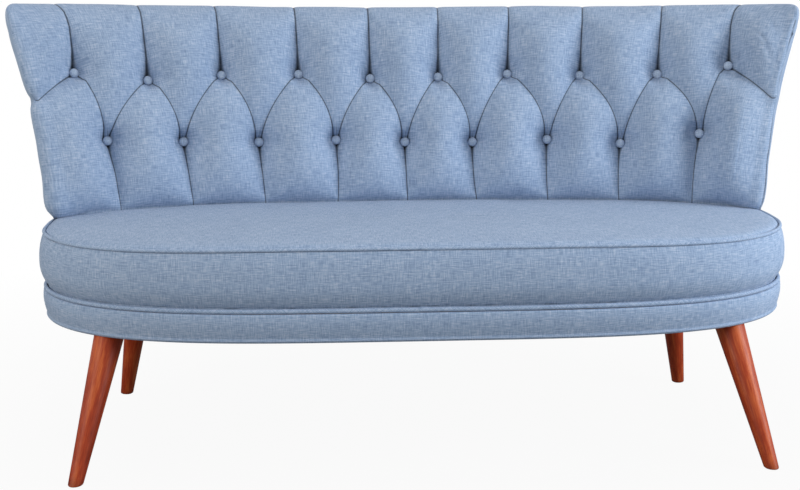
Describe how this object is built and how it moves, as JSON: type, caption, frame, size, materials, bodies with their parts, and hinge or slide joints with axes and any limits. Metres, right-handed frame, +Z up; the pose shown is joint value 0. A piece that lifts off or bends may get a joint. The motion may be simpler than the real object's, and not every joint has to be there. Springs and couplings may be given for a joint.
{
  "type": "loveseat",
  "caption": "Small loveseat with an oval padded seat drum, a button-tufted wrap-around back that flares into wings, and splayed tapered round wooden legs.",
  "frame": {"origin": "floor level, under the middle of the overall box", "axes": "+X to the right of someone who faces the loveseat, +Y towards its back, +Z up"},
  "size_m": [1.3992, 0.5894, 0.7331],
  "materials": {
    "sofa_fabric": "heathered blue linen weave",
    "button_fabric": "the same weave, stretched over the buttons",
    "leg_wood": "satin reddish-brown stain",
    "frame_wood": "bare sawn timber",
    "plywood": "bare thin plywood",
    "steel": "zinc plated",
    "dust_cloth": "black non-woven cloth",
    "webbing": "woven strap"
  },
  "bodies": {
    "root": {"leg_front_left": "leg_wood", "leg_front_right": "leg_wood", "leg_rear_left": "leg_wood", "leg_rear_right": "leg_wood", "leg_plate_front_left": "steel", "leg_plate_front_right": "steel", "leg_plate_rear_left": "steel", "leg_plate_rear_right": "steel", "leg_block_front_left": "frame_wood", "leg_block_front_right": "frame_wood", "leg_block_rear_left": "frame_wood", "leg_block_rear_right": "frame_wood", "leg_bolt_front_left": "steel", "leg_bolt_front_right": "steel", "leg_bolt_rear_left": "steel", "leg_bolt_rear_right": "steel", "base_front_rail": "frame_wood", "base_left_rail": "frame_wood", "base_right_rail": "frame_wood", "base_rear_rail": "frame_wood", "base_centre_stretcher": "frame_wood", "webbing_1": "webbing", "webbing_2": "webbing", "webbing_3": "webbing", "webbing_4": "webbing", "base_band": "sofa_fabric", "dust_cover": "dust_cloth", "seat_lower_piping": "sofa_fabric", "seat_top_welt": "sofa_fabric", "seat_cushion": "sofa_fabric", "back_bottom_rail": "frame_wood", "back_top_rail": "frame_wood", "back_post_left_end": "frame_wood", "back_post_left": "frame_wood", "back_post_right": "frame_wood", "back_post_right_end": "frame_wood", "back_board": "plywood", "outside_back": "sofa_fabric", "back_bolt_left": "steel", "back_bolt_right": "steel", "back_pad": "sofa_fabric", "button_top_01": "button_fabric", "button_top_02": "button_fabric", "button_top_03": "button_fabric", "button_top_04": "button_fabric", "button_top_05": "button_fabric", "button_top_06": "button_fabric", "button_top_07": "button_fabric", "button_top_08": "button_fabric", "button_top_09": "button_fabric", "button_top_10": "button_fabric", "button_lower_01": "button_fabric", "button_lower_02": "button_fabric", "button_lower_03": "button_fabric", "button_lower_04": "button_fabric", "button_lower_05": "button_fabric", "button_lower_06": "button_fabric", "button_lower_07": "button_fabric", "button_lower_08": "button_fabric", "button_lower_09": "button_fabric"}
  },
  "joints": []
}
